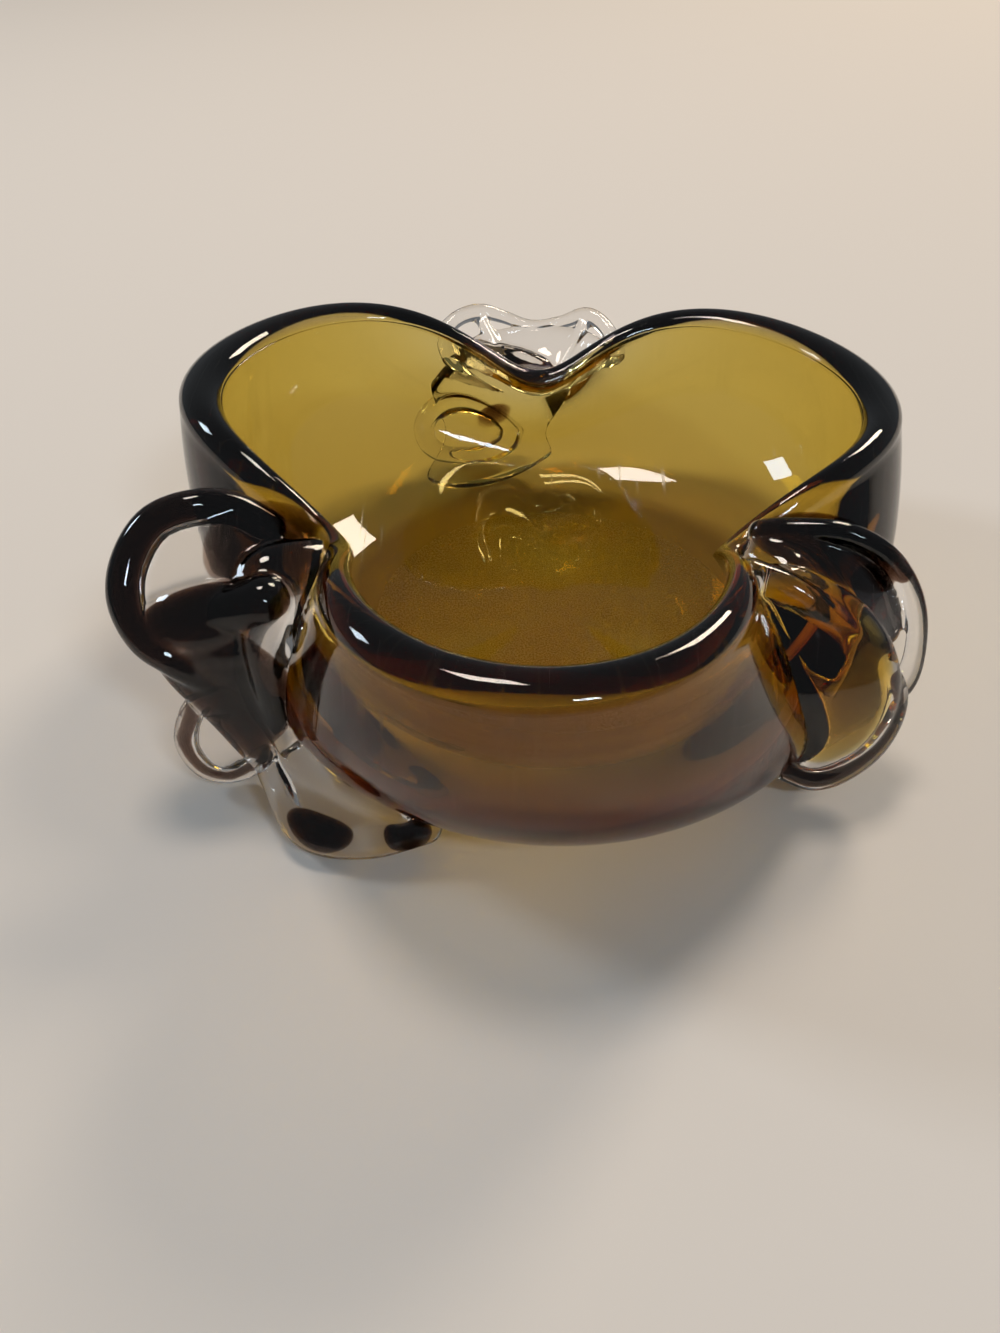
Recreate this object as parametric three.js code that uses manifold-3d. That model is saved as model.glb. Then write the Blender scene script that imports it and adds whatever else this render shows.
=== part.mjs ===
// A three-lobed art glass bowl, blown round and then pinched in at three places.
// Amber glass lines the inside, a thick smoke glass casing covers the outside and
// rolls over the rim, and a fan of looped crystal glass is stuck on at each pinch.
// Each fan holds a streak of smoke glass at its root.
// Millimetres, +Z up, origin at the centre of the flat base; the front lobe faces -Y.

import * as THREE from 'three';
import { mergeVertices } from 'three/addons/utils/BufferGeometryUtils.js';
import Module from 'manifold-3d';

const wasm = await Module();
wasm.setup();

// ---- driving dimensions -------------------------------------------------------

const RADIUS = 89; // rim radius of the round bowl before it is pinched
const HEIGHT = 56; // height of the rim's outer edge before it is pinched
const BASE_RADIUS = 33; // flat that the bowl stands on
const WALL = 10.5; // whole wall thickness at the rim
const FLOOR = 10; // glass under the inside floor
const INNER_FLOOR_RADIUS = 24;
const BULGE = 2.3; // fullness of the wall's curve: 2 is an ellipse, more is squarer
const RIM_RISE = 4; // how far the rolled rim stands above its edges
const CASING = 5; // smoke casing thickness on the wall
const CASING_BASE = 4; // and under the base
const SEAM_RADIUS = 25; // flat under the lining, less than the base's for a thick corner
const ROLL_ROOF = 2.2; // height of the casing's underside above the edges in the rim
const SEAM = 0.45; // gap between casing and lining in the round bowl
const JOIN_GAP = 0.35; // gap between an ornament and whatever it touches
const PINCH_THINNING = 3.5; // how much thinner the wall is pulled at a pinch
const DROP_WIDTH = 0.34; // half-width in radians of the rim's dip at a pinch
const PINCH_FADE = 1.3; // how fast a pinch dies away towards the base

const LATHE_STEPS = 54;
const WALL_STEPS = 8;
const RIM_STEPS = 5;
const PETAL_STEPS = 10;
const BAR_SIDES = 8;
const BAR_RINGS = 2;
const RING_POINTS = 9;

const degrees = THREE.MathUtils.degToRad;
const LOBES = [
  { angle: degrees(-90), reach: -2, lift: 1.5 },
  { angle: degrees(30), reach: -1, lift: -7 },
  { angle: degrees(150), reach: 0, lift: -1.5 },
];
const PINCHES = [
  { angle: degrees(94), depth: 32, width: 0.46, drop: 11 },
  { angle: degrees(209), depth: 32, width: 0.51, drop: 13 },
  { angle: degrees(327), depth: 44, width: 0.66, drop: 13 },
];

// ---- the pinched bowl ---------------------------------------------------------

const turnBetween = (a, b) => Math.atan2(Math.sin(a - b), Math.cos(a - b));

// Moves a point of the round bowl to where the pinching and stretching leave it.
function pinch(point) {
  const angle = Math.atan2(point.y, point.x);
  const radius = Math.hypot(point.x, point.y);
  const up = THREE.MathUtils.clamp(point.z / HEIGHT, 0, 1);
  const inward = Math.max(0, (RADIUS - radius) / WALL);
  let reach = 0;
  let lift = 0;
  for (const lobe of LOBES) {
    const share = (1 + 2 * Math.cos(angle - lobe.angle)) / 3;
    reach += share * lobe.reach * up;
    lift += share * lobe.lift;
  }
  for (const { angle: at, depth, width, drop } of PINCHES) {
    const turn = turnBetween(angle, at);
    const hold = Math.exp(-((turn / width) ** 2)) * up ** PINCH_FADE;
    reach -= hold * (depth - PINCH_THINNING * inward);
    lift -= drop * Math.exp(-((turn / DROP_WIDTH) ** 2));
  }
  const moved = Math.max(radius + reach, 0);
  const scale = radius > 0 ? moved / radius : 0;
  return point.set(point.x * scale, point.y * scale, point.z * (1 + lift / HEIGHT));
}

// A wall curve from a flat of radius `from` at height `low` to the rim, moved in by `inset`.
function wallCurve(from, low, inset) {
  const points = [];
  const span = RADIUS - inset - from;
  const rise = HEIGHT - low;
  for (let i = 0; i <= WALL_STEPS; i += 1) {
    const turn = (i / WALL_STEPS) * (Math.PI / 2);
    const out = Math.sin(turn) ** (2 / BULGE);
    const up = 1 - Math.cos(turn) ** (2 / BULGE);
    points.push(new THREE.Vector2(from + span * out, low + rise * up));
  }
  return points;
}

// The rolled rim, from an outer edge to an inner edge set in by the two insets.
function rimRoll(outerInset, innerInset, rise) {
  const outer = RADIUS - outerInset;
  const inner = RADIUS - innerInset;
  const points = [];
  for (let i = 1; i < RIM_STEPS; i += 1) {
    const turn = (i / RIM_STEPS) * Math.PI;
    const across = (outer + inner) / 2 + ((outer - inner) / 2) * Math.cos(turn);
    points.push(new THREE.Vector2(across, HEIGHT + rise * Math.sin(turn)));
  }
  return points;
}

const axis = (height) => new THREE.Vector2(0, height);
const LINING_INSET = CASING + SEAM;
const outerWall = wallCurve(BASE_RADIUS, 0, 0);
const casingInside = wallCurve(SEAM_RADIUS, CASING_BASE, CASING);
const liningOutside = wallCurve(SEAM_RADIUS, CASING_BASE + SEAM, LINING_INSET);
const innerWall = wallCurve(INNER_FLOOR_RADIUS, FLOOR, WALL);

// The casing ends in a thin lip just outside the inner edge of the rim.
const LIP = WALL - 0.3;
const LIP_RISE = 1;
const casingProfile = [
  axis(0),
  ...outerWall,
  ...rimRoll(0, LIP, RIM_RISE),
  new THREE.Vector2(RADIUS - LIP, HEIGHT + LIP_RISE),
  ...rimRoll(CASING, LIP, ROLL_ROOF).reverse(),
  ...casingInside.reverse(),
  axis(CASING_BASE),
];
const liningProfile = [
  axis(CASING_BASE + SEAM),
  ...liningOutside,
  ...rimRoll(LINING_INSET, WALL, ROLL_ROOF - 2 * SEAM),
  ...innerWall.reverse(),
  axis(FLOOR),
];

// Keeps position only, joins shared vertices and drops triangles that shrank to a line.
function weld(geometry) {
  geometry.deleteAttribute('normal');
  geometry.deleteAttribute('uv');
  const welded = mergeVertices(geometry, 1e-4);
  const index = welded.getIndex().array;
  const kept = [];
  for (let i = 0; i < index.length; i += 3) {
    const [a, b, c] = index.slice(i, i + 3);
    if (a !== b && b !== c && c !== a) kept.push(a, b, c);
  }
  welded.setIndex(kept);
  return welded;
}

function moveVertices(geometry, move) {
  const position = geometry.getAttribute('position');
  const point = new THREE.Vector3();
  for (let i = 0; i < position.count; i += 1) {
    move(point.fromBufferAttribute(position, i));
    position.setXYZ(i, point.x, point.y, point.z);
  }
  return geometry;
}

// Splits each four-sided patch along its shorter diagonal, so that two layers lying
// one on the other are faceted alike and keep their gap.
function splitShort(geometry) {
  const position = geometry.getAttribute('position');
  const index = geometry.getIndex().array;
  const at = (i) => new THREE.Vector3().fromBufferAttribute(position, i);
  for (let i = 0; i < index.length; i += 6) {
    const [a, b, d, c] = index.slice(i, i + 4);
    if (at(a).distanceTo(at(c)) < at(b).distanceTo(at(d))) index.set([a, b, c, a, c, d], i);
  }
  return geometry;
}

function pinchedLathe(profile) {
  const round = new THREE.LatheGeometry(profile, LATHE_STEPS).rotateX(Math.PI / 2);
  return weld(splitShort(moveVertices(round, pinch)));
}

// ---- the petals and bars ------------------------------------------------------

// Directions at a place on a curve: along it, across it in the plane square to `face`,
// and out of that plane.
function frameAt(curve, along, face) {
  const facing = new THREE.Vector3(...face).normalize();
  const tangent = curve.getTangent(along);
  const side = new THREE.Vector3().crossVectors(facing, tangent).normalize();
  const normal = new THREE.Vector3().crossVectors(tangent, side);
  return { centre: curve.getPoint(along), tangent, side, normal };
}

// A ball of hot glass drawn out along a curve and pressed flat: thin in the middle
// (`web`), fat round the edge (`roll`), its sides bent up by `cup`.
function petal({ path, face, width, web, roll = web, cup = 0 }) {
  const curve = new THREE.CatmullRomCurve3(path.map((p) => new THREE.Vector3(...p)));
  const ball = weld(new THREE.SphereGeometry(1, PETAL_STEPS, PETAL_STEPS).rotateX(Math.PI / 2));
  return moveVertices(ball, (p) => {
    const along = THREE.MathUtils.clamp((p.z + 1) / 2, 0, 1);
    const { centre, side, normal } = frameAt(curve, along, face);
    const fat = THREE.MathUtils.smoothstep(Math.hypot(p.x, p.z), 0.3, 0.85);
    const across = width * p.x;
    const height = p.y * (web + (roll - web) * fat) + cup * p.x ** 2;
    p.copy(centre).addScaledVector(side, across).addScaledVector(normal, height);
  });
}

// A round bar with rounded ends through points that each carry a radius.
function bar({ points, face }) {
  const places = points.map(([x, y, z]) => new THREE.Vector3(x, y, z));
  const curve = new THREE.CatmullRomCurve3(places, false, 'catmullrom', 0.5);
  const last = points.length - 1;
  const rod = new THREE.CapsuleGeometry(1, 2, 2, BAR_SIDES, BAR_RINGS * last);
  return moveVertices(weld(rod), (p) => {
    const along = THREE.MathUtils.clamp((p.y + 1) / 2, 0, 1);
    const before = Math.min(Math.floor(along * last), last - 1);
    const share = along * last - before;
    const radius = THREE.MathUtils.lerp(points[before][3], points[before + 1][3], share);
    const beyond = p.y - THREE.MathUtils.clamp(p.y, -1, 1);
    const { centre, tangent, side, normal } = frameAt(curve, along, face);
    const [x, z] = [p.x * radius, p.z * radius];
    p.copy(centre).addScaledVector(tangent, beyond * radius);
    p.addScaledVector(normal, x).addScaledVector(side, z);
  });
}

function solid(geometry) {
  const vertProperties = Float32Array.from(geometry.getAttribute('position').array);
  const triVerts = Uint32Array.from(geometry.getIndex().array);
  return new wasm.Manifold(new wasm.Mesh({ numProp: 3, vertProperties, triVerts }));
}

function surface(manifold) {
  const { vertProperties, triVerts } = manifold.getMesh();
  const geometry = new THREE.BufferGeometry();
  geometry.setAttribute('position', new THREE.BufferAttribute(vertProperties, 3));
  geometry.setIndex(new THREE.BufferAttribute(triVerts, 1));
  return geometry;
}

// The filled bowl, grown by the joining gap, that cuts every ornament's contact face.
const keepOutProfile = [
  axis(-JOIN_GAP),
  ...wallCurve(BASE_RADIUS, -JOIN_GAP, -JOIN_GAP),
  ...rimRoll(-JOIN_GAP, WALL, RIM_RISE + JOIN_GAP),
  axis(HEIGHT),
];
const keepOut = solid(pinchedLathe(keepOutProfile));

const grown = (shape, by) => ({ ...shape, width: shape.width + by, web: shape.web + by });

function ornament({ bars, petals, streak }) {
  const shapes = [...bars.map(bar), ...petals.map(petal)].map(solid);
  const whole = shapes.reduce((all, next) => all.add(next));
  const hollow = solid(petal(grown(streak, JOIN_GAP)));
  const body = whole.subtract(hollow).subtract(keepOut);
  const core = solid(petal(streak)).subtract(keepOut);
  return { body: surface(body), core: surface(core) };
}

// Bar points round an oval ring of glass: `across` and `up` are two directions in its
// plane, and `size` says how far its middle line reaches along each.
function ringPoints({ centre, across, up, size, thickness }) {
  const middle = new THREE.Vector3(...centre);
  const [a, b] = [across, up].map((v) => new THREE.Vector3(...v).normalize());
  return Array.from({ length: RING_POINTS + 1 }, (_, i) => {
    const turn = (i / RING_POINTS) * 2 * Math.PI;
    const place = middle.clone().addScaledVector(a, size[0] * Math.cos(turn));
    return [...place.addScaledVector(b, size[1] * Math.sin(turn)), thickness];
  });
}

// A fan is a fat rim bar bent into three loops, with thin webs across the loops. Each
// bar point is a place and a radius; webs and necks are petals from root to tip. The
// fans differ, as hand work does.
const leftFan = ornament({
  bars: [
    // over the top loop, down the ribbon and along the foot
    { face: [0.25, -0.6, 0.75],
      points: [[-57, -25, 50, 3.4], [-63.5, -24.5, 54, 3.4], [-70, -27, 56, 3.4],
        [-77, -30, 54.5, 3.4], [-81, -35.5, 50, 3.4], [-81.5, -41, 45, 3.3],
        [-78, -46, 40, 3], [-72.5, -48, 36, 2.7], [-65, -47.5, 28, 2.7], [-61, -49, 18, 2.8],
        [-57, -54, 9, 3], [-50.5, -62.5, 5, 3.6], [-39, -64.5, 5, 3.8], [-27.5, -63, 7, 3.4]] },
    // the sharp fold from the loop's tip back to the neck
    { face: [0.25, -0.6, 0.75],
      points: [[-78, -46, 40, 2.4], [-67.5, -43.5, 43.5, 3.2], [-56.5, -41.5, 45, 5.5]] },
    // down the bowl's wall to the foot
    { face: [-0.7, -0.7, 0],
      points: [[-56.5, -42, 44, 5], [-56, -47, 36, 4], [-55, -49, 20, 3.2],
        [-46, -56.5, 12, 3], [-32, -62.5, 11, 2.6]] },
    // the small low loop
    { face: [-0.2, -0.97, 0.1],
      points: [[-66, -46.5, 28, 2], [-72, -47, 24, 2.2], [-76, -46.5, 14, 2.3],
        [-74, -47, 6.5, 2.3], [-69, -47, 4.2, 2.3], [-62, -48, 9, 2.2], [-60, -49, 15, 2]] },
  ],
  petals: [
    { path: [[-42, -26, 44], [-54, -36, 45], [-62, -40, 45]], face: [0.25, -0.6, 0.75],
      width: 8, web: 4 },
    { path: [[-44, -31, 46], [-57, -43, 36], [-55, -47, 12]], face: [-0.7, -0.7, 0],
      width: 7, web: 4 },
    { path: [[-52, -30, 48], [-66, -36.5, 48.5], [-79, -41, 46]], face: [0.25, -0.6, 0.75],
      width: 13, web: 1.3 },
    { path: [[-80, -44, 41], [-68, -43.5, 43], [-55, -41, 45]], face: [0.1, -0.75, 0.65],
      width: 6.5, web: 3.2 },
    { path: [[-54, -43, 40], [-64, -46, 38], [-76, -47, 38]], face: [0, -0.9, 0.35],
      width: 7, web: 2.5 },
    { path: [[-76, -47, 39], [-65, -48.5, 26], [-57, -53, 10]], face: [-0.2, -0.8, 0.55],
      width: 5.5, web: 2.2 },
    { path: [[-67, -43, 45], [-62, -47, 31], [-57.5, -51, 14]], face: [0, -0.9, 0.4],
      width: 8.5, web: 2.4 },
    { path: [[-61, -48, 16], [-69, -47, 15], [-75.5, -46.5, 15]], face: [-0.1, -0.98, 0.15],
      width: 8.5, web: 1 },
    { path: [[-57, -50, 15], [-48, -60, 8], [-29, -64.5, 7]], face: [-0.3, -0.5, 0.8],
      width: 7.5, web: 3.4 },
  ],
  streak: { path: [[-40, -24, 43], [-50, -32.5, 44.7], [-59, -38, 45]],
    face: [0.25, -0.6, 0.75], width: 4.5, web: 1.5 },
});
const rightFan = ornament({
  bars: [
    // the rim of the drooping top loop
    { face: [0.3, -0.5, 0.8],
      points: [[38, -21, 46, 2.8], [43, -23, 48, 2.6], [52, -25.5, 49, 2.5],
        [59.5, -27.5, 46.5, 2.3], [64.5, -30, 42, 2.2], [67, -34, 37, 2.1],
        [68, -37, 30, 2.1], [67, -39.5, 24, 2.4], [63, -41.5, 20, 3]] },
    // the ridge down the outside of the big leaf and round its foot
    { face: [0.1, -0.8, 0.6],
      points: [[33, -36, 47, 3.5], [40.5, -39.5, 46.5, 2.6], [50, -43, 40, 2.6],
        [61, -43, 28, 3], [63, -44.5, 21.5, 3.4], [61, -46.5, 14, 3.6],
        [56, -48.5, 9, 3.6], [50, -50, 7, 3.2], [43.5, -50, 9, 2.4]] },
  ],
  petals: [
    { path: [[34, -22, 44], [46, -33, 38], [50, -38, 14]], face: [0.7, -0.7, 0],
      width: 7, web: 6 },
    { path: [[36, -26, 46], [52, -31, 43], [64, -37, 32]], face: [0.3, -0.5, 0.8],
      width: 9.5, web: 2.2 },
    { path: [[32, -35, 47], [50, -46, 31], [51.5, -50, 8]], face: [0.1, -0.8, 0.6],
      width: 12.5, web: 5 },
    { path: [[33, -36, 45], [40, -44.5, 28], [43.5, -49, 9]], face: [-0.6, -0.8, 0.1],
      width: 4, web: 2.4 },
  ],
  streak: { path: [[30, -19, 43], [40, -27, 41.5], [47, -32, 38]],
    face: [0.3, -0.5, 0.8], width: 4, web: 1.5 },
});
const rearFan = ornament({
  bars: [
    // the wavy top edge
    { face: [0, -0.7, 0.7],
      points: [[-20, 62, 36, 2.4], [-27.5, 71, 42, 2.2], [-25, 76, 45, 2.2],
        [-18.5, 80, 45.5, 2.2], [-12, 81, 43.5, 1.8], [-5, 79, 42, 1.7], [3, 81, 42, 1.8],
        [10, 80, 44.5, 2.2], [15, 76, 43, 2.2], [16.5, 70, 40, 2.2], [10, 60, 36, 2.4]] },
    // a fold down from each peak of that edge
    { face: [0.2, -0.7, 0.7],
      points: [[-18.5, 79, 44.5, 1.8], [-12.5, 67, 38, 2], [-8, 57, 34, 2.4]] },
    { face: [-0.2, -0.7, 0.7],
      points: [[10, 79, 43.5, 1.8], [4, 68, 38, 2], [0, 57, 34, 2.4]] },
    // the loop pressed on the pad
    { face: [-0.3, 0.85, -0.35],
      points: ringPoints({ centre: [-23, 73, 14], across: [0.94, 0.33, 0],
        up: [-0.1, 0.35, 0.93], size: [13.5, 10], thickness: 3.1 }) },
  ],
  petals: [
    { path: [[-4, 54, 33], [-4.5, 67, 37.5], [-5, 79, 42]], face: [0, -0.7, 0.7],
      width: 20, web: 2.4, cup: 3 },
    // the pad that spreads over the wall
    { path: [[4, 62, 35], [-15, 70, 20], [-38, 53, 11.5]], face: [-0.2, 0.9, -0.3],
      width: 20, web: 6 },
  ],
  streak: { path: [[-4, 58, 31], [-14, 70, 22], [-24, 66, 13]],
    face: [-0.2, 0.9, -0.3], width: 4, web: 2.5 },
});

// ---- the object ---------------------------------------------------------------

const AMBER = { color: '#b8860b', roughness: 0.02 };
const SMOKE = { color: '#2a1a1c', roughness: 0.02 };
const CRYSTAL = { color: '#d8cfc0', roughness: 0.02 };

function glass(name, geometry, { color, roughness }) {
  const looks = { color, roughness, metalness: 0, transparent: true, opacity: 0.5 };
  const mesh = new THREE.Mesh(geometry, new THREE.MeshStandardMaterial(looks));
  mesh.name = name;
  return mesh;
}

const bowl = new THREE.Group();
bowl.name = 'art_glass_bowl';
bowl.add(
  glass('amber_lining', pinchedLathe(liningProfile), AMBER),
  glass('smoke_casing', pinchedLathe(casingProfile), SMOKE),
  glass('left_petals', leftFan.body, CRYSTAL),
  glass('left_streak', leftFan.core, SMOKE),
  glass('right_petals', rightFan.body, CRYSTAL),
  glass('right_streak', rightFan.core, SMOKE),
  glass('rear_petals', rearFan.body, CRYSTAL),
  glass('rear_streak', rearFan.core, SMOKE),
);

export default bowl;
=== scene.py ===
# %% [markdown]
# # A three-lobed art glass bowl
# The bowl is blown from two layers of glass, amber inside and smoke outside, and pinched
# in at three places while it is soft. A fan of clear glass is stuck on at each pinch.
# Every layer and every fan here is its own closed mesh, worked out with numpy, so that
# light bends and takes colour in it as it does in real glass.

import bpy
import numpy as np
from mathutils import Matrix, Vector


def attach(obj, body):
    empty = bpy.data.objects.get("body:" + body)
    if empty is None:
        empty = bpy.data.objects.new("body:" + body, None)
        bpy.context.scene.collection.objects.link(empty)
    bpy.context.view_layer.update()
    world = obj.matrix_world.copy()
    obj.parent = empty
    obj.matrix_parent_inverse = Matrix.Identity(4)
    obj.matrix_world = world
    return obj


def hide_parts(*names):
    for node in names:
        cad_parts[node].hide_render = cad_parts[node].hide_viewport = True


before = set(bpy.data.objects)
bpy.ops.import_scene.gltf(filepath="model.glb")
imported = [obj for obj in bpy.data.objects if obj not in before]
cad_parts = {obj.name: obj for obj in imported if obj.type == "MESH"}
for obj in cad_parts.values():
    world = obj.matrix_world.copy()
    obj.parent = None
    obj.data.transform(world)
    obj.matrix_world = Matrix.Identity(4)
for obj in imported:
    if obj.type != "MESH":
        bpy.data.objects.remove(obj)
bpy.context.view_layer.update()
MM = 0.001
print("nodes in the frame:", len(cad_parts))

# %% [markdown]
# The view comes first, because everything is judged through it. The camera stands close
# in front of the bowl and looks down at about 44 degrees through a fairly wide lens.

# %% Camera
LENS_MM = 27.04
LOOK_AT = np.array([-13.2, -0.1, -10.2]) * MM
CAMERA_RANGE = 250.1 * MM
CAMERA_TILT = np.radians(43.6)

camera_data = bpy.data.cameras.new("camera")
camera_data.lens = LENS_MM
camera_data.sensor_width = 36.0
camera_data.clip_start = 0.01
camera = bpy.data.objects.new("camera", camera_data)
bpy.context.collection.objects.link(camera)
camera.location = LOOK_AT + CAMERA_RANGE * np.array([0.0, -np.cos(CAMERA_TILT), np.sin(CAMERA_TILT)])
camera.rotation_euler = (np.pi / 2 - CAMERA_TILT, 0.0, 0.0)
bpy.context.scene.camera = camera
print("camera height in mm:", round(camera.location.z / MM))

# %% [markdown]
# A glass surface hides nothing, so its mesh must be fine and even. One helper turns a grid
# of points into a closed mesh: the first and last rows shrink to single points, and each
# row joins round on itself.

# %% Closed meshes from a grid
def piece(name, verts, faces, material=None):
    """An object at the origin from points in metres and faces, smooth shaded."""
    mesh = bpy.data.meshes.new(name)
    mesh.from_pydata(verts, [], faces)
    mesh.shade_smooth()
    made = bpy.data.objects.new(name, mesh)
    bpy.context.collection.objects.link(made)
    if material:
        mesh.materials.append(material)
    return made


def grid_faces(rows, turns):
    """Quads between neighbouring rows of a wrapped grid whose two ends are single points,
    which come after the grid's own points."""
    i = np.arange(rows - 1)[:, None] * turns
    j = np.arange(turns)[None, :]
    k = (j + 1) % turns
    quads = np.stack([i + j, i + k, i + turns + k, i + turns + j], -1).reshape(-1, 4)
    first, last = rows * turns, rows * turns + 1
    j = np.arange(turns)
    k = (j + 1) % turns
    low = np.stack([np.full(turns, first), k, j], -1)
    top = (rows - 1) * turns
    high = np.stack([np.full(turns, last), top + j, top + k], -1)
    return quads.tolist() + low.tolist() + high.tolist()


def closed_grid(points):
    """Points and faces of a closed surface from an array (rows, turns, 3) whose first and
    last rows are each one repeated point."""
    inner = points[1:-1]
    verts = np.vstack([inner.reshape(-1, 3), points[0, :1], points[-1, :1]])
    return verts, grid_faces(len(inner), points.shape[1])


print("faces of a closed grid of 3 rows and 8 turns:", len(grid_faces(3, 8)))

# %% [markdown]
# The bowl is a round blown bowl bent to three lobes. Each pinch pulls the wall in by a
# bell curve of the angle, strongest at the rim and fading to nothing at the base, and the
# rim dips there. Bending the round shape, and not each lobe, keeps the two layers parallel.
# The smoke layer rolls over the rim, and the amber one shows from the inner lip down.

# %% The pinched bowl
RADIUS, HEIGHT, BASE_RADIUS = 89.0, 56.0, 33.0
WALL, FLOOR, INNER_FLOOR_RADIUS = 10.5, 10.0, 24.0
BULGE, RIM_RISE, SEAM = 2.3, 4.0, 0.04
CASING, CASING_BASE, SEAM_RADIUS, LIP_SKIN = 5.0, 4.0, 25.0, 0.5
PINCH_THINNING, DROP_WIDTH, PINCH_FADE = 3.5, 0.34, 1.3
# each lobe: its angle in degrees, how far it leans out and how much higher its rim is
LOBES = np.array([[-90, -2, 1.5], [30, -1, -7], [150, 0, -1.5]])
# each pinch: its angle in degrees, depth, width in radians and how far the rim drops
PINCHES = np.array([[94, 32, 0.46, 11], [209, 32, 0.51, 13], [327, 44, 0.66, 13]])
TURNS, WALL_ROWS, SEAM_ROWS, RIM_ROWS, LIP_ROWS = 384, 110, 56, 28, 6


def pinch(radius, height, angle):
    """Where a point of the round bowl goes. Its radius loses, for each pinch, depth times
    exp(-(turn / width)^2) times height^fade, and its height is scaled by the lobes' lift
    less each pinch's drop times a narrower bell."""
    up = np.clip(height / HEIGHT, 0, 1)
    inward = np.maximum(0, (RADIUS - radius) / WALL)
    reach = np.zeros_like(radius)
    lift = np.zeros_like(radius)
    for at, out, rise in LOBES:
        share = (1 + 2 * np.cos(angle - np.radians(at))) / 3
        reach = reach + share * out * up
        lift = lift + share * rise
    for at, depth, width, drop in PINCHES:
        turn = (angle - np.radians(at) + np.pi) % (2 * np.pi) - np.pi
        hold = np.exp(-((turn / width) ** 2)) * up**PINCH_FADE
        reach = reach - hold * (depth - PINCH_THINNING * inward)
        lift = lift - drop * np.exp(-((turn / DROP_WIDTH) ** 2))
    return np.maximum(radius + reach, 0), height * (1 + lift / HEIGHT)


def wall_curve(start, low, inset, rows=SEAM_ROWS):
    """Wall profile: out = sin(t)^(2/bulge) and up = 1 - cos(t)^(2/bulge), t to 90 degrees."""
    t = np.linspace(0, np.pi / 2, rows)
    out = np.sin(t) ** (2 / BULGE)
    up = 1 - np.abs(np.cos(t)) ** (2 / BULGE)
    return np.stack([start + (RADIUS - inset - start) * out, low + (HEIGHT - low) * up], -1)


def rim_curve(turn, depth):
    """Half an ellipse over the rim, from the outer to the inner edge, sunk by a depth."""
    half = WALL / 2
    across = np.stack([np.cos(turn) * half, np.sin(turn) * RIM_RISE], -1)
    away = np.stack([np.cos(turn) / half, np.sin(turn) / RIM_RISE], -1)
    away = away / np.linalg.norm(away, axis=-1, keepdims=True)
    middle = np.array([RADIUS - half, HEIGHT])
    return middle + across - away * np.broadcast_to(depth, turn.shape)[..., None]


def bowl_layer(profile):
    """A closed surface round the axis from a profile of radius and height, then pinched."""
    angle = np.linspace(0, 2 * np.pi, TURNS, endpoint=False) - np.pi / 2
    radius = np.repeat(profile[:, :1], TURNS, 1)
    height = np.repeat(profile[:, 1:], TURNS, 1)
    radius, height = pinch(radius, height, angle[None, :])
    return np.stack([radius * np.cos(angle), radius * np.sin(angle), height], -1) * MM


print("lobes and pinches:", len(LOBES), len(PINCHES))

# %% Profiles of the two layers
LIP_TURN = np.radians(162)
LIP_START = np.radians(165)
roll = np.linspace(0, LIP_TURN, RIM_ROWS)[1:]
roll_skin = CASING + (LIP_SKIN - CASING) * roll / LIP_TURN
tail = np.linspace(LIP_START, np.pi, LIP_ROWS)
outer_wall = wall_curve(BASE_RADIUS, 0, 0, WALL_ROWS)
seam_out = wall_curve(SEAM_RADIUS, CASING_BASE, CASING)
seam_in = wall_curve(SEAM_RADIUS, CASING_BASE + SEAM, CASING + SEAM)
inner_wall = wall_curve(INNER_FLOOR_RADIUS, FLOOR, WALL)
casing_profile = np.vstack([
    [[0, 0]], outer_wall, rim_curve(roll, 0),
    rim_curve(roll, roll_skin)[::-1], seam_out[::-1], [[0, CASING_BASE]]])
casing_fused = np.r_[np.zeros(1 + WALL_ROWS + len(roll)), np.ones(len(roll) + SEAM_ROWS + 1)]
lining_profile = np.vstack([
    [[0, CASING_BASE + SEAM]], seam_in, rim_curve(roll, roll_skin + SEAM),
    rim_curve(tail, 0)[:-1], inner_wall[::-1], [[0, FLOOR]]])
lining_fused = np.r_[np.ones(1 + SEAM_ROWS + len(roll)), np.zeros(len(tail) + SEAM_ROWS)]
casing_points = bowl_layer(casing_profile)
lining_points = bowl_layer(lining_profile)
print("rows in the casing and lining:", len(casing_profile), len(lining_profile))

# %% [markdown]
# The fans are drawn out of hot glass in two ways. A bar is a round thread of it, bent
# into loops. A petal is a ball of it drawn out along a curve and pressed flat. Both follow
# a smooth curve through a few places, so a fan can be shaped by moving those places.

# %% Curves
def unit(vectors):
    return vectors / np.linalg.norm(vectors, axis=-1, keepdims=True)


def through(points, t):
    """A smooth curve through the points (uniform Catmull-Rom). Between b and c, with
    neighbours a and d, it is b + f/2 (c - a) + f^2/2 (2a - 5b + 4c - d)
    + f^3/2 (3b - 3c + d - a), for f from 0 to 1."""
    p = np.array(points, float)
    p = np.vstack([2 * p[0] - p[1], p, 2 * p[-1] - p[-2]])
    spans = len(p) - 3
    place = np.clip(t, 0, 1) * spans
    i = np.minimum(place.astype(int), spans - 1)
    f = (place - i)[:, None]
    a, b, c, d = p[i], p[i + 1], p[i + 2], p[i + 3]
    return b + f / 2 * (c - a + f * (2 * a - 5 * b + 4 * c - d + f * (3 * b - 3 * c + d - a)))


def directions(centre, face):
    """Along a curve, across it in the plane square to `face`, and out of that plane."""
    tangent = unit(np.gradient(centre, axis=0))
    side = unit(np.cross(np.array(face, float), tangent))
    return tangent[:, None], side[:, None], np.cross(tangent, side)[:, None]


print("a curve from 0 to 9 at its middle:", float(through([[0], [1], [9]], np.array([0.5]))[0, 0]))

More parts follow.
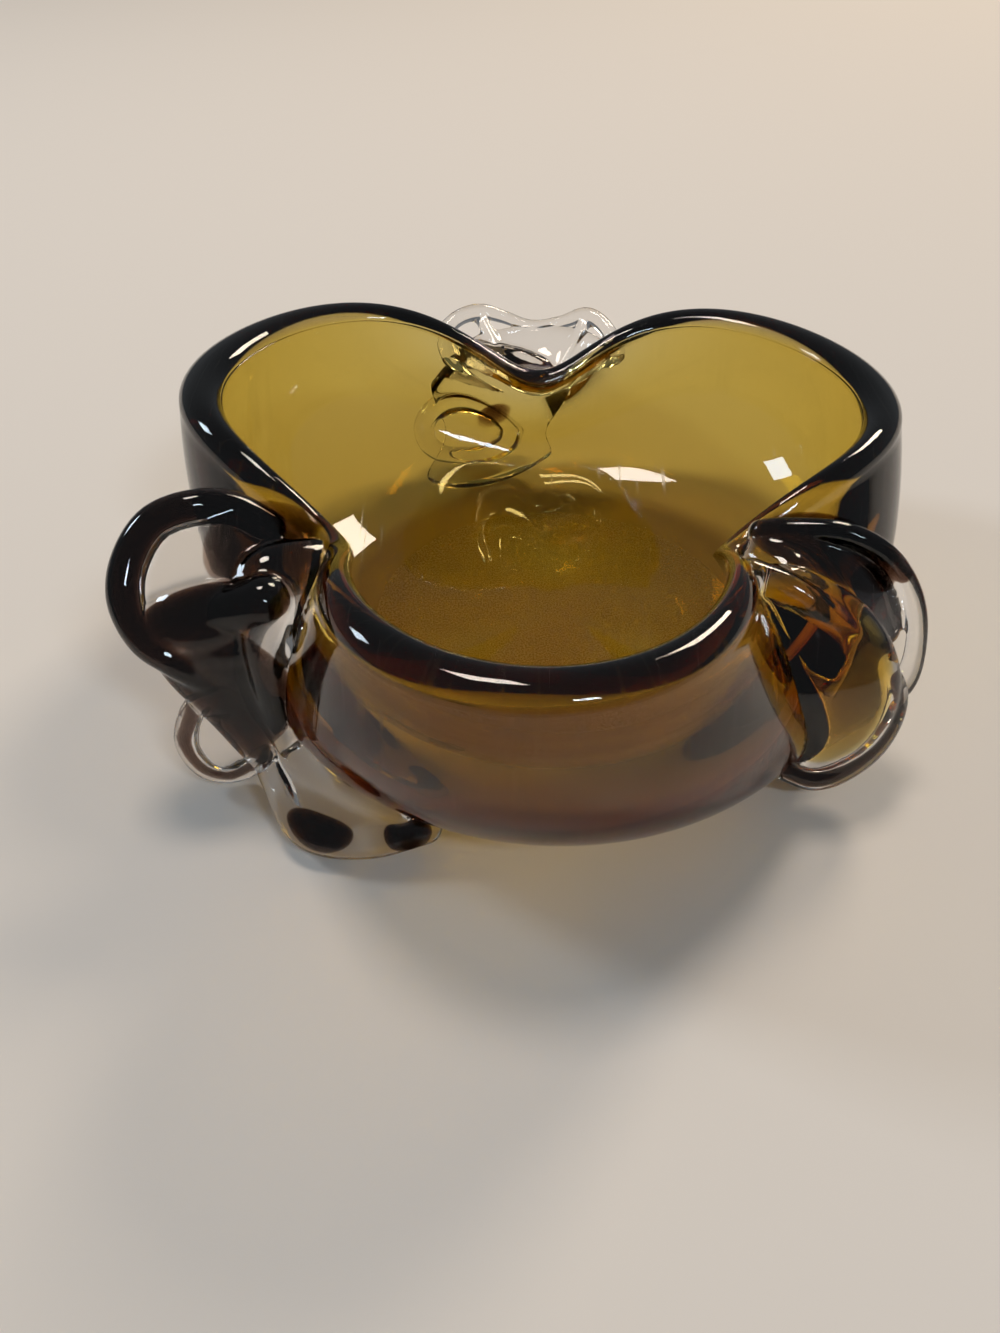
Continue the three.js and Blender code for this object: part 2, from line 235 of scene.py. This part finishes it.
# %% Bars and petals
def bar(points, face, rows=160, turns=28, cap_rows=8):
    """A round tube through points of x, y, z and radius. Each end is half a ball: a ring
    that slides along by radius * sin(a) and has the radius times cos(a)."""
    cap = np.linspace(0, np.pi / 2, cap_rows + 1)[1:]
    t = np.linspace(0, 1, rows)
    row = through(points, t)
    tangent, side, normal = directions(row[:, :3], face)
    pick = np.r_[np.zeros(cap_rows, int), np.arange(rows), np.full(cap_rows, rows - 1)]
    turn = np.r_[-cap[::-1], np.zeros(rows), cap]
    radius = row[pick, 3]
    centre = row[pick, :3][:, None] + tangent[pick] * (radius * np.sin(turn))[:, None, None]
    angle = np.linspace(0, 2 * np.pi, turns, endpoint=False)[None, :, None]
    ring = side[pick] * np.cos(angle) + normal[pick] * np.sin(angle)
    return (centre + ring * (radius * np.cos(turn))[:, None, None]) * MM


def petal(path, face, width, web, cup=0.0, rows=72, turns=64):
    """A ball of unit radius whose z runs along the path and whose x runs across it:
    place = path(z) + side * width * x + normal * (web * y + cup * x^2)."""
    polar = np.linspace(np.pi, 0, rows)[:, None]
    angle = np.linspace(0, 2 * np.pi, turns, endpoint=False)[None, :]
    x = np.sin(polar) * np.cos(angle)
    y = np.sin(polar) * np.sin(angle)
    z = np.cos(polar)
    centre = through(path, (z[:, 0] + 1) / 2)
    _, side, normal = directions(centre, face)
    height = y * web + cup * x**2
    return (centre[:, None] + side * (width * x)[..., None] + normal * height[..., None]) * MM


def joined(surfaces):
    """Several closed grids as one list of points and faces."""
    all_verts, all_faces, start = [], [], 0
    for points in surfaces:
        verts, faces = closed_grid(points)
        all_verts.append(verts)
        all_faces += [[v + start for v in f] for f in faces]
        start += len(verts)
    return np.vstack(all_verts), all_faces


straight = dict(points=[(0, 0, 0, 1), (5, 0, 0, 1), (10, 0, 0, 1)], face=(0, 0, 1))
print("points of one bar:", len(joined([bar(**straight)])[0]))

# %% [markdown]
# Each fan is a fat rim bar bent into loops, with thin webs across the loops, folds where
# they meet the bowl, and threads of smoke glass that the maker twisted in. The three fans
# differ, as hand work does. Every bar point is a place and a radius, in millimetres.

# %% Helpers for the fans
def ring_points(centre, across, up, size, thickness, count=9):
    """Bar points round an oval ring: centre + size[0] * cos(a) * across
    + size[1] * sin(a) * up, where `across` and `up` are directions in its plane."""
    turn = np.linspace(0, 2 * np.pi, count + 1)[:, None]
    across, up = unit(np.array([across, up], float))
    places = np.array(centre) + size[0] * np.cos(turn) * across
    places += size[1] * np.sin(turn) * up
    return np.hstack([places, np.full_like(turn, thickness)])


def core(shape, share, first=0, last=None):
    """A stretch of a bar at a share of its radius."""
    points = [(x, y, z, radius * share) for x, y, z, radius in shape["points"][first:last]]
    return dict(points=points, face=shape["face"])


print("points of a ring:", len(ring_points((0, 0, 0), (1, 0, 0), (0, 0, 1), (5, 5), 1)))

# %% Left fan
LOOP_FACE = (0.25, -0.6, 0.75)
LEFT_BARS = dict(
    rim=dict(face=LOOP_FACE, points=[
        (-57, -25, 50, 3.4), (-63.5, -24.5, 54, 3.4), (-70, -27, 56, 3.4),
        (-77, -30, 54.5, 3.4), (-81, -35.5, 50, 3.4), (-81.5, -41, 45, 3.3),
        (-78, -46, 40, 3), (-72.5, -48, 36, 2.7), (-65, -47.5, 28, 2.7), (-61, -49, 18, 2.8),
        (-57, -54, 9, 3), (-50.5, -62.5, 5, 3.6), (-39, -64.5, 5, 3.8), (-27.5, -63, 7, 3.4)]),
    fold=dict(face=LOOP_FACE, points=[
        (-78, -46, 40, 2.4), (-67.5, -43.5, 43.5, 3.2), (-56.5, -41.5, 45, 5.5)]),
    wall=dict(face=(-0.7, -0.7, 0), points=[
        (-56.5, -42, 44, 5), (-56, -47, 36, 4), (-55, -49, 20, 3.2),
        (-46, -56.5, 12, 3), (-32, -62.5, 11, 2.6)]),
    drop=dict(face=(-0.2, -0.97, 0.1), points=[
        (-66, -46.5, 28, 2), (-72, -47, 24, 2.2), (-76, -46.5, 14, 2.3),
        (-74, -47, 6.5, 2.3), (-69, -47, 4.2, 2.3), (-62, -48, 9, 2.2), (-60, -49, 15, 2)]),
)
LEFT_PETALS = [
    dict(path=[(-42, -26, 44), (-54, -36, 45), (-62, -40, 45)], face=LOOP_FACE,
         width=8, web=4),
    dict(path=[(-44, -31, 46), (-57, -43, 36), (-55, -47, 12)], face=(-0.7, -0.7, 0),
         width=7, web=4),
    dict(path=[(-52, -30, 48), (-66, -36.5, 48.5), (-79, -41, 46)], face=LOOP_FACE,
         width=13, web=1.3),
    dict(path=[(-80, -44, 41), (-68, -43.5, 43), (-55, -41, 45)], face=(0.1, -0.75, 0.65),
         width=6.5, web=3.2),
    dict(path=[(-54, -43, 40), (-64, -46, 38), (-76, -47, 38)], face=(0, -0.9, 0.35),
         width=7, web=2.5),
    dict(path=[(-76, -47, 39), (-65, -48.5, 26), (-57, -53, 10)], face=(-0.2, -0.8, 0.55),
         width=5.5, web=2.2),
    dict(path=[(-67, -43, 45), (-62, -47, 31), (-57.5, -51, 14)], face=(0, -0.9, 0.4),
         width=8.5, web=2.4),
    dict(path=[(-61, -48, 16), (-69, -47, 15), (-75.5, -46.5, 15)], face=(-0.1, -0.98, 0.15),
         width=8.5, web=1),
    dict(path=[(-57, -50, 15), (-48, -60, 8), (-29, -64.5, 7)], face=(-0.3, -0.5, 0.8),
         width=7.5, web=3.4),
]
LEFT_CORES = [
    core(LEFT_BARS["rim"], 0.72, 0, 9), core(LEFT_BARS["drop"], 0.4, 1, 6)]
LEFT_INLAYS = [
    dict(path=[(-44, -25, 45), (-57, -31, 49), (-68, -35, 48.5)], face=LOOP_FACE,
         width=10, web=0.9),
    dict(path=[(-80, -45.5, 41), (-67, -43, 43.5), (-52, -40, 46)], face=(0.1, -0.75, 0.65),
         width=5.2, web=2.5),
    dict(path=[(-75, -46.5, 39), (-65, -48, 26), (-59, -51.5, 14)], face=(-0.2, -0.8, 0.55),
         width=4.8, web=1.8),
    dict(path=[(-67, -43, 44), (-62, -47, 31), (-58, -50.5, 17)], face=(0, -0.9, 0.4),
         width=7.8, web=2),
    dict(path=[(-54, -59, 7), (-48, -62.5, 5.5), (-41, -64.3, 5.5)], face=(-0.3, -0.5, 0.8),
         width=3.2, web=2.2),
    dict(path=[(-35.5, -64.5, 6.5), (-31, -64.5, 7), (-26.5, -63.5, 7.5)], face=(-0.3, -0.5, 0.8),
         width=3.2, web=2.4),
]
print("left fan bars and petals:", len(LEFT_BARS), len(LEFT_PETALS))

# %% Right fan
RIGHT_BARS = dict(
    rim=dict(face=(0.3, -0.5, 0.8), points=[
        (38, -21, 46, 2.8), (43, -23, 48, 2.6), (52, -25.5, 49, 2.5),
        (59.5, -27.5, 46.5, 2.3), (64.5, -30, 42, 2.2), (67, -34, 37, 2.1),
        (68, -37, 30, 2.1), (67, -39.5, 24, 2.4), (63, -41.5, 20, 3)]),
    ridge=dict(face=(0.1, -0.8, 0.6), points=[
        (33, -36, 47, 3.5), (40.5, -39.5, 46.5, 2.6), (50, -43, 40, 2.6),
        (61, -43, 28, 3), (63, -44.5, 21.5, 3.4), (61, -46.5, 14, 3.6),
        (56, -48.5, 9, 3.6), (50, -50, 7, 3.2), (43.5, -50, 9, 2.4)]),
)
RIGHT_PETALS = [
    dict(path=[(34, -22, 44), (46, -33, 38), (50, -38, 14)], face=(0.7, -0.7, 0),
         width=7, web=6),
    dict(path=[(36, -26, 46), (52, -31, 43), (64, -37, 32)], face=(0.3, -0.5, 0.8),
         width=9.5, web=2.2),
    dict(path=[(32, -35, 47), (50, -46, 31), (51.5, -50, 8)], face=(0.1, -0.8, 0.6),
         width=12.5, web=5),
    dict(path=[(33, -36, 45), (40, -44.5, 28), (43.5, -49, 9)], face=(-0.6, -0.8, 0.1),
         width=4, web=2.4),
]
RIGHT_CORES = [core(RIGHT_BARS["ridge"], 0.5, 3), core(RIGHT_BARS["rim"], 0.5, 0, 5)]
RIGHT_INLAYS = [
    dict(path=[(36, -21, 46), (51, -26.5, 46), (63, -30.5, 41)], face=(0.3, -0.5, 0.8),
         width=7.5, web=1.5),
]
AMBER_LEAF = dict(path=[(35, -37, 46), (49, -46, 32), (50, -49.5, 12)], face=(0.1, -0.8, 0.6),
                  width=11, web=4.1)
print("right fan bars and petals:", len(RIGHT_BARS), len(RIGHT_PETALS))

# %% Rear fan
REAR_BARS = dict(
    rim=dict(face=(0, -0.7, 0.7), points=[
        (-20, 62, 36, 2.4), (-27.5, 71, 42, 2.2), (-25, 76, 45, 2.2),
        (-18.5, 80, 45.5, 2.2), (-12, 81, 43.5, 1.8), (-5, 79, 42, 1.7), (3, 81, 42, 1.8),
        (10, 80, 44.5, 2.2), (15, 76, 43, 2.2), (16.5, 70, 40, 2.2), (10, 60, 36, 2.4)]),
    left_fold=dict(face=(0.2, -0.7, 0.7), points=[
        (-18.5, 79, 44.5, 1.8), (-12.5, 67, 38, 2), (-8, 57, 34, 2.4)]),
    right_fold=dict(face=(-0.2, -0.7, 0.7), points=[
        (10, 79, 43.5, 1.8), (4, 68, 38, 2), (0, 57, 34, 2.4)]),
    loop=dict(face=(-0.3, 0.85, -0.35), points=ring_points(
        (-23, 73, 14), (0.94, 0.33, 0), (-0.1, 0.35, 0.93), (13.5, 10), 3.1)),
)
REAR_PETALS = [
    dict(path=[(-4, 54, 33), (-4.5, 67, 37.5), (-5, 79, 42)], face=(0, -0.7, 0.7),
         width=20, web=2.4, cup=3),
    dict(path=[(4, 62, 35), (-15, 70, 20), (-38, 53, 11.5)], face=(-0.2, 0.9, -0.3),
         width=20, web=6),
]
REAR_CORES = []
REAR_INLAYS = [
    dict(path=[(-4, 58, 31), (-14, 70, 22), (-24, 66, 13)], face=(-0.2, 0.9, -0.3),
         width=4, web=2.5),
]
print("rear fan bars and petals:", len(REAR_BARS), len(REAR_PETALS))

# %% [markdown]
# Hot glass flows where bars and petals meet, so a fan has no creases. A voxel remesh makes
# them one skin and a smoothing pass rounds the joins. The part inside the bowl is then
# cut away with the bowl's own outer surface, and the cut face is marked as fused. The
# smoke threads and the amber leaf inside the fans are made in the same way.

# %% Fans
MELT_VOXEL = 0.45 * MM
MELT_PASSES = 24
CORE_PASSES = 4
CORE_GAP = 0.3


def keep_out(gap):
    """The bowl's filled outer surface, stood off by a gap."""
    return bowl_layer(np.vstack([
        [[0, -gap]], wall_curve(BASE_RADIUS, -gap, -gap, WALL_ROWS), rim_curve(roll, -gap),
        [[RADIUS - WALL, HEIGHT], [0, HEIGHT]]]))


def settled(made):
    """The object's mesh with its modifiers worked in, and the modifiers gone."""
    shown = made.evaluated_get(bpy.context.evaluated_depsgraph_get())
    mesh = bpy.data.meshes.new_from_object(shown)
    made.modifiers.clear()
    made.data = mesh
    return mesh


def melted(name, bars, petals, gap, passes):
    """Bars and petals melted into one skin and cut by the bowl; returns the object and,
    for each of its faces, 1 where it is fused to the bowl."""
    surfaces = [bar(**shape) for shape in bars] + [petal(**shape) for shape in petals]
    made = piece(name, *joined(surfaces))
    melt = made.modifiers.new("melt", "REMESH")
    melt.mode = "VOXEL"
    melt.voxel_size = MELT_VOXEL
    flow = made.modifiers.new("flow", "SMOOTH")
    flow.factor = 0.5
    flow.iterations = passes
    settled(made)
    tool = piece("keep_out", *closed_grid(keep_out(gap)))
    for owner, label in ((made, "free_face"), (tool, "fused_face")):
        owner.data.materials.append(bpy.data.materials.new(label))
    cut = made.modifiers.new("cut", "BOOLEAN")
    cut.operation = "DIFFERENCE"
    cut.solver = "EXACT"
    cut.object = tool
    cut.material_mode = "TRANSFER"
    mesh = settled(made)
    bpy.data.objects.remove(tool)
    index = np.zeros(len(mesh.polygons), int)
    mesh.polygons.foreach_get("material_index", index)
    labels = [m.name if m else "" for m in mesh.materials]
    fused = np.array([label.startswith("fused") for label in labels])[index].astype(float)
    mesh.polygons.foreach_set("material_index", np.zeros(len(index), int))
    mesh.materials.clear()
    mesh.shade_smooth()
    print(name, "faces", len(mesh.polygons), "fused", int(fused.sum()))
    return made, fused


# %% Melt the three fans
FANS = {
    "left": (LEFT_BARS, LEFT_PETALS, LEFT_CORES, LEFT_INLAYS),
    "right": (RIGHT_BARS, RIGHT_PETALS, RIGHT_CORES, RIGHT_INLAYS),
    "rear": (REAR_BARS, REAR_PETALS, REAR_CORES, REAR_INLAYS),
}
fans, streaks = {}, {}
for side, (bars, petals, cores, inlays) in FANS.items():
    fans[side] = melted(f"{side}_fan", bars.values(), petals, SEAM, MELT_PASSES)
    streaks[side] = melted(f"{side}_streak_glass", cores, inlays, CORE_GAP, CORE_PASSES)[0]
amber_leaf = melted("right_leaf_amber", [], [AMBER_LEAF], CORE_GAP, CORE_PASSES)[0]

# %% [markdown]
# Glass gets its colour in its depth, not on its skin: a thin wall is pale and the same
# glass seen along the rim is nearly black. So each material has a clear surface and a
# volume that absorbs light. Its surface still has faint ripples, hair scratches and, on
# the base, the scuffed ring that every glass bowl wears.

# %% Glass skin group
SCRATCH_SCALE, SCRATCH_LIMIT = 900, 0.74
SCRATCH_TURNS = (0.5, 1.4, 2.5)
SCUFF_SCALE, SCUFF_HEIGHT = 2600, 0.0006
POLISH, SCRATCH_ROUGHNESS, SCUFF_ROUGHNESS = 0.004, 0.25, 0.5
RIPPLE_SCALE, SCRATCH_DEPTH = 26, 0.002
TINT_SCALE, TINT_LOW = 60, 0.965


def link(tree, a, b):
    tree.links.new(a, b)


def skin_group():
    """Outputs: a tint, a roughness and a normal that change over the surface."""
    group = bpy.data.node_groups.new("glass_skin", "ShaderNodeTree")
    face = group.interface
    for name, value in (("Ripple", 0.1), ("Scratches", 0.3), ("Scuffs", 0.5)):
        socket = face.new_socket(name, in_out="INPUT", socket_type="NodeSocketFloat")
        socket.default_value = value
    face.new_socket("Tint", in_out="OUTPUT", socket_type="NodeSocketColor")
    face.new_socket("Roughness", in_out="OUTPUT", socket_type="NodeSocketFloat")
    face.new_socket("Normal", in_out="OUTPUT", socket_type="NodeSocketVector")
    nodes = group.nodes
    enter = nodes.new("NodeGroupInput")
    leave = nodes.new("NodeGroupOutput")
    place = nodes.new("ShaderNodeTexCoord")

    def math(kind, a, b=None):
        node = nodes.new("ShaderNodeMath")
        node.operation = kind
        for socket, value in zip(node.inputs, (a, b)):
            if isinstance(value, (int, float)):
                socket.default_value = value
            elif value is not None:
                link(group, value, socket)
        return node.outputs[0]

    def noise(scale, detail, stretch=None, turn=0.0):
        node = nodes.new("ShaderNodeTexNoise")
        node.inputs["Scale"].default_value = scale
        node.inputs["Detail"].default_value = detail
        source = place.outputs["Object"]
        if stretch:
            mapping = nodes.new("ShaderNodeMapping")
            mapping.inputs["Scale"].default_value = stretch
            mapping.inputs["Rotation"].default_value = (0.3, 0.2, turn)
            link(group, source, mapping.inputs["Vector"])
            source = mapping.outputs[0]
        link(group, source, node.inputs["Vector"])
        return node.outputs["Fac"]

    streaks = [noise(SCRATCH_SCALE, 0, (1, 0.02, 0.05), turn) for turn in SCRATCH_TURNS]
    lines = [math("GREATER_THAN", streak, SCRATCH_LIMIT) for streak in streaks]
    lines = math("MAXIMUM", math("MAXIMUM", lines[0], lines[1]), lines[2])
    scratched = math("MULTIPLY", lines, enter.outputs["Scratches"])
    split = nodes.new("ShaderNodeSeparateXYZ")
    link(group, place.outputs["Object"], split.inputs[0])
    low = math("LESS_THAN", split.outputs["Z"], SCUFF_HEIGHT)
    scuff = math("MULTIPLY", math("GREATER_THAN", noise(SCUFF_SCALE, 3), 0.5), low)
    scuffed = math("MULTIPLY", scuff, enter.outputs["Scuffs"])
    rough = math("ADD", math("MULTIPLY", scratched, SCRATCH_ROUGHNESS),
                 math("MULTIPLY", scuffed, SCUFF_ROUGHNESS))
    link(group, math("ADD", rough, POLISH), leave.inputs["Roughness"])

    ripple = math("MULTIPLY", noise(RIPPLE_SCALE, 1), enter.outputs["Ripple"])
    height = math("SUBTRACT", ripple, math("MULTIPLY", scratched, SCRATCH_DEPTH))
    bump = nodes.new("ShaderNodeBump")
    bump.inputs["Strength"].default_value = 1.0
    bump.inputs["Distance"].default_value = 0.001
    link(group, height, bump.inputs["Height"])
    link(group, bump.outputs[0], leave.inputs["Normal"])

    ramp = nodes.new("ShaderNodeMapRange")
    ramp.inputs["To Min"].default_value = TINT_LOW
    ramp.inputs["To Max"].default_value = 1.0
    link(group, noise(TINT_SCALE, 3), ramp.inputs["Value"])
    tone = nodes.new("ShaderNodeCombineColor")
    for socket in tone.inputs:
        link(group, ramp.outputs[0], socket)
    link(group, tone.outputs[0], leave.inputs["Tint"])
    return group


GLASS_SKIN = skin_group()
print("glass skin nodes:", len(GLASS_SKIN.nodes))

# %% [markdown]
# Two layers of glass that are fused have no surface between them. Each layer's mesh keeps
# a number on its skin, 1 where it is fused and 0 where it meets air, and the material
# bends light only where it meets air. A thread inlaid in a fan never meets air.

# %% Glass materials
GLASS_IOR = 1.5
FUSED_IOR = 1.0
HEADROOM = 1.02


def glass(name, passed, depth, ripple=0.05, scratches=0.3, scuffs=0.0, inlaid=False):
    """Glass that lets the colour `passed` through after `depth` metres. The absorbed share
    is -ln(passed) / depth for each colour, split into a density a little above the
    largest share and a colour of one less share / density."""
    material = bpy.data.materials.new(name)
    material.use_nodes = True
    tree = material.node_tree
    shader = tree.nodes["Principled BSDF"]
    out = tree.nodes["Material Output"]
    shader.inputs["Transmission Weight"].default_value = 1.0
    skin = tree.nodes.new("ShaderNodeGroup")
    skin.node_tree = GLASS_SKIN
    for socket, value in (("Ripple", ripple), ("Scratches", scratches), ("Scuffs", scuffs)):
        skin.inputs[socket].default_value = value
    link(tree, skin.outputs["Tint"], shader.inputs["Base Color"])
    link(tree, skin.outputs["Roughness"], shader.inputs["Roughness"])
    link(tree, skin.outputs["Normal"], shader.inputs["Normal"])
    shader.inputs["IOR"].default_value = FUSED_IOR
    if not inlaid:
        seam = tree.nodes.new("ShaderNodeAttribute")
        seam.attribute_name = "fused"
        choose = tree.nodes.new("ShaderNodeMath")
        choose.operation = "GREATER_THAN"
        choose.inputs[1].default_value = 0.5
        bend = tree.nodes.new("ShaderNodeMapRange")
        bend.inputs["To Min"].default_value = GLASS_IOR
        bend.inputs["To Max"].default_value = FUSED_IOR
        link(tree, seam.outputs["Fac"], choose.inputs[0])
        link(tree, choose.outputs[0], bend.inputs["Value"])
        link(tree, bend.outputs[0], shader.inputs["IOR"])
    lost = -np.log(np.array(passed)) / depth
    density = lost.max() * HEADROOM
    volume = tree.nodes.new("ShaderNodeVolumeAbsorption")
    volume.inputs["Density"].default_value = float(density)
    volume.inputs["Color"].default_value = (*(1 - lost / density), 1.0)
    link(tree, volume.outputs[0], out.inputs["Volume"])
    return material


AMBER = glass("amber_glass", (0.975, 0.77, 0.15), 5.5 * MM, scratches=0.5)
SMOKE = glass("smoke_glass", (0.7, 0.675, 0.75), 5.0 * MM, scuffs=1.0)
CRYSTAL = glass("crystal_glass", (0.93, 0.91, 0.89), 20 * MM, ripple=0.08)
INLAY = dict(ripple=0.0, scratches=0.0, inlaid=True)
STREAK = glass("streak_glass", (0.035, 0.014, 0.008), 3.0 * MM, **INLAY)
LEAF = glass("leaf_amber_glass", (0.85, 0.52, 0.06), 7 * MM, **INLAY)
print("glasses:", [m.name for m in (AMBER, SMOKE, CRYSTAL, STREAK, LEAF)])

# %% [markdown]
# The layers and fans now take their glass. A fan's fused face is also fused on the
# casing's side, so the casing's points that lie under it are marked too.

# %% Marks for fused skin
def mark(made, values, domain):
    made.data.attributes.new("fused", "FLOAT", domain).data.foreach_set("value", values)


def grid_marks(marks):
    """One mark for each point of a closed grid: the inner rows, then the two poles."""
    return np.r_[marks[1:-1].ravel(), marks[0, 0], marks[-1, 0]]


NEAR = 0.002 * MM


def under_fans(points, fan_meshes):
    """For each point, 1 where a fan's cut face has a point within about `NEAR` of it."""
    def keys(places):
        return np.round(places / NEAR).astype(np.int64) @ np.array([1, 1 << 20, 1 << 40])

    cut = [np.empty(len(m.vertices) * 3) for m in fan_meshes]
    for array, mesh in zip(cut, fan_meshes):
        mesh.vertices.foreach_get("co", array)
    cut = np.vstack([c.reshape(-1, 3) for c in cut])
    near = [keys(cut + np.array(offset) * NEAR) for offset in np.ndindex(3, 3, 3)]
    return np.isin(keys(points + NEAR), np.concatenate(near)).astype(float)


outer_rows = 1 + WALL_ROWS + len(roll)
outside = keep_out(SEAM)[:outer_rows].reshape(-1, 3)
covered = under_fans(outside, [made.data for made, _ in fans.values()])
print("casing points under fans:", int(covered.sum()))

# %% Put the pieces together
smoke_casing = piece("smoke_casing_glass", *closed_grid(casing_points), SMOKE)
casing_marks = np.repeat(casing_fused[:, None], TURNS, 1)
casing_marks[:outer_rows] = np.maximum(casing_marks[:outer_rows], covered.reshape(-1, TURNS))
mark(smoke_casing, grid_marks(casing_marks), "POINT")
amber_lining = piece("amber_lining_glass", *closed_grid(lining_points), AMBER)
mark(amber_lining, grid_marks(np.repeat(lining_fused[:, None], TURNS, 1)), "POINT")
for made, node, slot in ((smoke_casing, "smoke_casing", "smoke_glass"),
                         (amber_lining, "amber_lining", "amber_glass")):
    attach(made, "root")
    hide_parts(node)
for side, (made, fused) in fans.items():
    made.data.materials.append(CRYSTAL)
    mark(made, fused, "FACE")
    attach(made, "root")
    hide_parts(f"{side}_petals")
amber_leaf.data.materials.append(LEAF)
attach(amber_leaf, "root")
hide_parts("right_petals")
for side, made in streaks.items():
    made.data.materials.append(STREAK)
    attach(made, "root")
    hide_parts(f"{side}_streak")
print("pieces of glass:", 3 + len(fans) + len(streaks))

# %% [markdown]
# A plain pale floor takes the bowl's shadow. It lies a hair below the base, because two
# surfaces at the same height would flicker.

# %% Floor
HALF_FLOOR = 3.0
FLOOR_DROP = 0.02 * MM
corners = [(-HALF_FLOOR, -HALF_FLOOR), (HALF_FLOOR, -HALF_FLOOR),
           (HALF_FLOOR, HALF_FLOOR), (-HALF_FLOOR, HALF_FLOOR)]
floor = piece("floor", [(x, y, -FLOOR_DROP) for x, y in corners], [(0, 1, 2, 3)])
paint = bpy.data.materials.new("floor_paint")
paint.use_nodes = True
floor_shader = paint.node_tree.nodes["Principled BSDF"]
floor_shader.inputs["Base Color"].default_value = (0.8, 0.735, 0.67, 1)
floor_shader.inputs["Roughness"].default_value = 0.9
floor_shader.inputs["Specular IOR Level"].default_value = 0.1
floor.data.materials.append(paint)
print("floor side in metres:", 2 * HALF_FLOOR)

# %% [markdown]
# Soft lamps of modest size: a very large one would show as a white patch inside the bowl.
# The main light comes from behind on the right, so the bowl's shadow falls towards the
# front left. Six small panes in front make the window's reflection on the near rim.

# %% Lamps
AIM = Vector((0, 0, 0.03))
PANE_STEP_ACROSS, PANE_STEP_UP = 0.085, 0.12
PANE_COLUMNS = 3



def lamp(name, place, size, power, colour):
    """A square soft lamp, pointed at the bowl."""
    data = bpy.data.lights.new(name, "AREA")
    data.shape = "RECTANGLE"
    data.size, data.size_y = size
    data.energy = power
    data.color = colour
    made = bpy.data.objects.new(name, data)
    bpy.context.collection.objects.link(made)
    made.location = place
    made.rotation_euler = (AIM - Vector(place)).to_track_quat("-Z", "Y").to_euler()


lamp("overhead", (-0.1, 0.3, 1.3), (0.32, 0.26), 5, (1.0, 0.9, 0.8))
lamp("window", (0.75, 1.25, 1.15), (0.42, 0.5), 12.5, (1.0, 0.86, 0.68))
lamp("side_window", (-1.1, 0.35, 0.8), (0.25, 0.3), 4.0, (0.74, 0.87, 1.0))
for pane in range(2 * PANE_COLUMNS):
    across = PANE_STEP_ACROSS * (pane % PANE_COLUMNS - 1)
    up = PANE_STEP_UP * (pane // PANE_COLUMNS)
    place = (0.5 + across, -0.8, 0.9 + up)
    lamp(f"front_window_pane_{pane}", place, (0.06, 0.09), 0.5, (0.72, 0.86, 1.0))
print("lamps:", len(bpy.data.lights))

# %% [markdown]
# The room itself is dim, and that keeps the thick rims nearly black. Light is bent many
# times between the layers, so it is followed for many bounces.

# %% Room
scene = bpy.context.scene
world = bpy.data.worlds.new("room")
scene.world = world
world.use_nodes = True
background = world.node_tree.nodes["Background"]
background.inputs["Color"].default_value = (0.9, 0.95, 1.0, 1)
background.inputs["Strength"].default_value = 0.16
scene.view_settings.view_transform = "Standard"
scene.cycles.max_bounces = 32
scene.cycles.transmission_bounces = 32
scene.cycles.glossy_bounces = 12
scene.cycles.sample_clamp_indirect = 40
scene.cycles.use_denoising = True
print("bounces:", scene.cycles.max_bounces)
